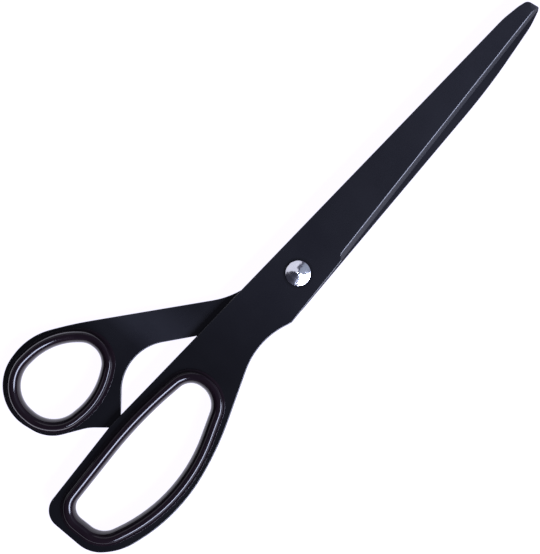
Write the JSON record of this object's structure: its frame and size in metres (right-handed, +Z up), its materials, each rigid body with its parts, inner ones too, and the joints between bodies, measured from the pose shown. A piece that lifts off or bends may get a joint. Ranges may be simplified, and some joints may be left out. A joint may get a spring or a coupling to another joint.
{
  "type": "fabric shears",
  "caption": "Long offset fabric shears with flat dark steel blades, a bevelled cutting edge, a polished pivot bolt and lined finger and thumb bows.",
  "frame": {"origin": "on the pivot axis, in the plane that the closed shears rest on", "axes": "+X along the blades towards the tips, +Y towards the thumb bow, +Z up through the flat of the blades"},
  "size_m": [0.2507, 0.0798, 0.0089],
  "materials": {
    "blade_steel": "matte black coating on steel, over the ground bevel too",
    "polished_steel": "turned and polished",
    "plated_steel": "satin nickel plate",
    "spring_steel": "tempered, lightly oiled",
    "washer_plastic": "satin nylon",
    "liner_plastic": "moulded gloss"
  },
  "bodies": {
    "finger_half": {"front_blade": "blade_steel", "pivot_bolt": "polished_steel", "adjusting_nut": "plated_steel", "spring_washer": "spring_steel", "friction_washer": "washer_plastic", "finger_liner_front": "liner_plastic", "finger_liner_rear": "liner_plastic"},
    "thumb_half": {"rear_blade": "blade_steel", "thumb_liner_front": "liner_plastic", "thumb_liner_rear": "liner_plastic"}
  },
  "joints": [
    {"name": "pivot", "type": "hinge", "parent": "finger_half", "child": "thumb_half", "pos_m": [0, 0, 0], "axis": [0, 0, -1], "range_deg": [0, 75]}
  ]
}
